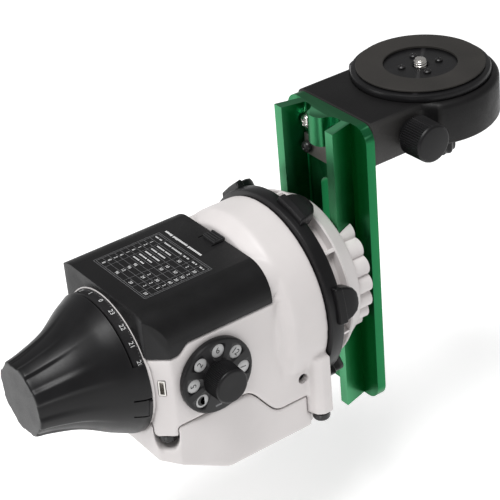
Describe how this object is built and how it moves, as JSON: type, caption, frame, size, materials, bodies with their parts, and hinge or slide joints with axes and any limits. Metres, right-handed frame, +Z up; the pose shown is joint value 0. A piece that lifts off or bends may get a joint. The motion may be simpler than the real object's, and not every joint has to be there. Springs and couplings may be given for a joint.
{
  "type": "equatorial mount",
  "caption": "Powered portable equatorial tracking mount with polar scope, clutch, dovetail bar and a declination head that carries a camera on a turntable.",
  "frame": {"origin": "centre of the base's flat underside, on the tripod screw's axis", "axes": "+X along the right ascension axis from the polar cap to the saddle, +Z up, the side with the mode dial faces -Y"},
  "size_m": [0.2726, 0.1065, 0.1586],
  "materials": {
    "white_casting": "white satin paint",
    "black_casting": "black satin paint",
    "black_plastic": "matte",
    "green_anodised": "green anodised",
    "alloy": "machined",
    "steel": "bright",
    "black_steel": "black oxide",
    "brass": "machined",
    "pad": "matte",
    "cell_wrap": "printed wrap",
    "lens_glass": "coated",
    "board": "lacquered",
    "grey_plate": "dark anodised"
  },
  "bodies": {
    "housing": {"main_housing": "white_casting", "base_housing": "white_casting", "battery_cell_1": "cell_wrap", "battery_cell_2": "cell_wrap", "battery_cell_3": "cell_wrap", "battery_cell_4": "cell_wrap", "time_circle": "black_plastic", "front_bearing": "steel", "rear_bearing": "steel", "circuit_board": "board", "gear_motor": "alloy", "usb_port": "steel", "shutter_port": "black_plastic", "dial_plate": "black_plastic", "tripod_insert": "brass", "base_bolt_1": "black_steel", "base_bolt_2": "black_steel", "base_bolt_3": "black_steel", "base_bolt_4": "black_steel", "worm_bearing_left": "alloy", "worm_bearing_right": "alloy"},
    "cover": {"battery_cover": "black_plastic"},
    "cap": {"polar_cap": "black_plastic"},
    "dial": {"dial_knob": "black_plastic"},
    "switch": {"direction_switch": "black_plastic"},
    "left_button": {"button_left": "black_plastic"},
    "right_button": {"button_right": "black_plastic"},
    "date_ring": {"date_circle": "black_plastic"},
    "focuser": {"eyepiece": "black_plastic"},
    "wheel": {"worm_wheel": "alloy"},
    "worm": {"worm_shaft": "brass", "worm_gear": "brass"},
    "drive_gear": {"motor_gear": "brass"},
    "platform": {"ra_shaft": "alloy", "polar_scope_tube": "black_plastic", "objective_lens": "lens_glass", "clutch_disc": "pad", "mounting_platform": "white_casting"},
    "clutch": {"clutch_ring": "black_plastic"},
    "jaw": {"clamp_jaw": "white_casting"},
    "jaw_knob": {"clamp_knob": "black_plastic"},
    "bar": {"dovetail_bar": "green_anodised", "bar_screw_1": "steel", "bar_screw_2": "steel", "stop_plate": "grey_plate", "stop_screw_1": "black_steel", "stop_screw_2": "black_steel", "dec_block": "black_casting"},
    "table": {"turntable": "black_casting", "turntable_pad": "pad", "turntable_screw_1": "steel", "turntable_screw_2": "steel", "turntable_screw_3": "steel", "turntable_screw_4": "steel", "dec_worm_wheel": "alloy"},
    "screw": {"camera_screw": "steel", "star_knob": "black_plastic"},
    "slow_motion": {"dec_worm": "brass", "dec_knob": "black_plastic"}
  },
  "joints": [
    {"name": "cover_lift", "type": "slide", "parent": "housing", "child": "cover", "axis": [0, 0, 1], "range_m": [0, 0.04]},
    {"name": "cap_pull", "type": "slide", "parent": "housing", "child": "cap", "axis": [-1, 0, 0], "range_m": [0, 0.06]},
    {"name": "dial_turn", "type": "hinge", "parent": "housing", "child": "dial", "pos_m": [-0.0295, 0, 0.0564], "axis": [0, -1, 0], "range_deg": [0, 300]},
    {"name": "switch_slide", "type": "slide", "parent": "housing", "child": "switch", "axis": [1, 0, 0], "range_m": [-0.0026, 0.0026]},
    {"name": "left_button_press", "type": "slide", "parent": "housing", "child": "left_button", "axis": [0, -1, 0], "range_m": [0, 0.0008], "stiffness_N_per_m": 300},
    {"name": "right_button_press", "type": "slide", "parent": "housing", "child": "right_button", "axis": [0, -1, 0], "range_m": [0, 0.0008], "stiffness_N_per_m": 300},
    {"name": "date_turn", "type": "hinge", "parent": "housing", "child": "date_ring", "pos_m": [-0.06, 0, 0.0574], "axis": [1, 0, 0], "continuous": true},
    {"name": "wheel_turn", "type": "hinge", "parent": "housing", "child": "wheel", "pos_m": [0.0215, 0, 0.0574], "axis": [1, 0, 0], "continuous": true},
    {"name": "worm_turn", "type": "hinge", "parent": "housing", "child": "worm", "pos_m": [0.0215, 0, 0.0093], "axis": [0, 1, 0], "continuous": true},
    {"name": "motor_turn", "type": "hinge", "parent": "housing", "child": "drive_gear", "pos_m": [0.0029, 0, 0.0174], "axis": [0, 1, 0], "continuous": true},
    {"name": "platform_turn", "type": "hinge", "parent": "wheel", "child": "platform", "pos_m": [0.04, 0, 0.0574], "axis": [1, 0, 0], "continuous": true},
    {"name": "focus_turn", "type": "hinge", "parent": "platform", "child": "focuser", "pos_m": [-0.07, 0, 0.0574], "axis": [1, 0, 0], "range_deg": [-150, 150]},
    {"name": "clutch_turn", "type": "hinge", "parent": "platform", "child": "clutch", "pos_m": [0.035, 0, 0.0574], "axis": [1, 0, 0], "range_deg": [0, 45]},
    {"name": "jaw_knob_turn", "type": "hinge", "parent": "platform", "child": "jaw_knob", "pos_m": [0.0616, 0.04, 0.0574], "axis": [0, 1, 0], "range_deg": [0, 1080]},
    {"name": "jaw_slide", "type": "slide", "parent": "platform", "child": "jaw", "axis": [0, 1, 0], "range_m": [0, 0.003]},
    {"name": "bar_slide", "type": "slide", "parent": "platform", "child": "bar", "axis": [0, 0, 1], "range_m": [-0.03, 0.03]},
    {"name": "table_turn", "type": "hinge", "parent": "bar", "child": "table", "pos_m": [0.1285, 0, 0.13], "axis": [0, 0, 1], "continuous": true},
    {"name": "slow_motion_turn", "type": "hinge", "parent": "bar", "child": "slow_motion", "pos_m": [0.0977, 0, 0.1259], "axis": [0, -1, 0], "continuous": true},
    {"name": "camera_screw_turn", "type": "hinge", "parent": "bar", "child": "screw", "pos_m": [0.1285, 0, 0.11], "axis": [0, 0, 1], "continuous": true}
  ],
  "couplings": [
    {"joint": "worm_turn", "follows": "wheel_turn", "ratio": 144},
    {"joint": "motor_turn", "follows": "wheel_turn", "ratio": -61.714},
    {"joint": "slow_motion_turn", "follows": "table_turn", "ratio": 72},
    {"joint": "jaw_knob_turn", "follows": "jaw_slide", "rad_per_m": 6283.1}
  ]
}
